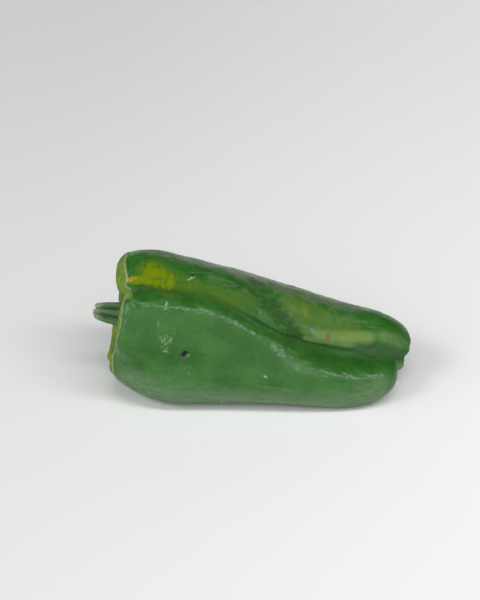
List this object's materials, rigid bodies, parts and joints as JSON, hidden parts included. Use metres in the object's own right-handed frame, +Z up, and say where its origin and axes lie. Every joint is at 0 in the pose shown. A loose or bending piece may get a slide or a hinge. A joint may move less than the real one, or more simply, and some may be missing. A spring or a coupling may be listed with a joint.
{
  "type": "bell pepper",
  "caption": "Long blocky green bell pepper lying on its side, with deep creases between its lobes, a hollow at the stem end and a short ribbed green stem.",
  "frame": {"origin": "on the ground, under the middle of the whole pepper as it lies on its side", "axes": "+X along the fruit from the stem end to the blossom end, +Z up, -Y the front, where the longest lobe lies"},
  "size_m": [0.1592, 0.0648, 0.0646],
  "materials": {
    "skin": "waxy green skin with yellow patches, satin gloss",
    "stem": "green fibrous stem, matt"
  },
  "bodies": {
    "root": {"fruit": "skin", "stem": "stem"}
  },
  "joints": []
}
